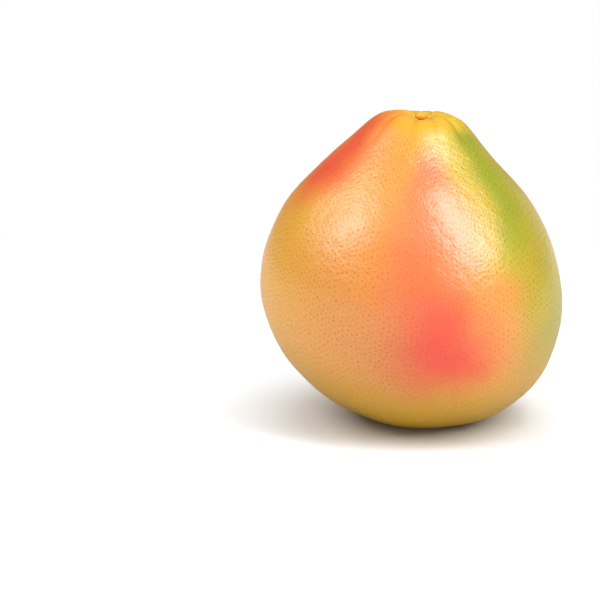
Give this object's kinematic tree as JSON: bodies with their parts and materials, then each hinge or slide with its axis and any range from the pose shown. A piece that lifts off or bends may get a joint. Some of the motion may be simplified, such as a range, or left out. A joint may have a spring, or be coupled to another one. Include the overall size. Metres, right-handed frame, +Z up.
{
  "type": "pomelo",
  "caption": "Whole pear-shaped pomelo with a flat crown, a small stem button in its dimple and a flat spot to rest on.",
  "frame": {"origin": "middle of the fruit's bounding box, on the plane that it rests on", "axes": "+Z up from the blossom end to the stem button, -Y towards the side with the coral blush, +X towards the lime green side"},
  "size_m": [0.1587, 0.1579, 0.1632],
  "materials": {
    "rind": "semi-gloss waxy citrus rind, coral over gold with a lime green flank",
    "stem": "dry matt calyx"
  },
  "bodies": {
    "root": {"fruit": "rind", "stem_button": "stem"}
  },
  "joints": []
}
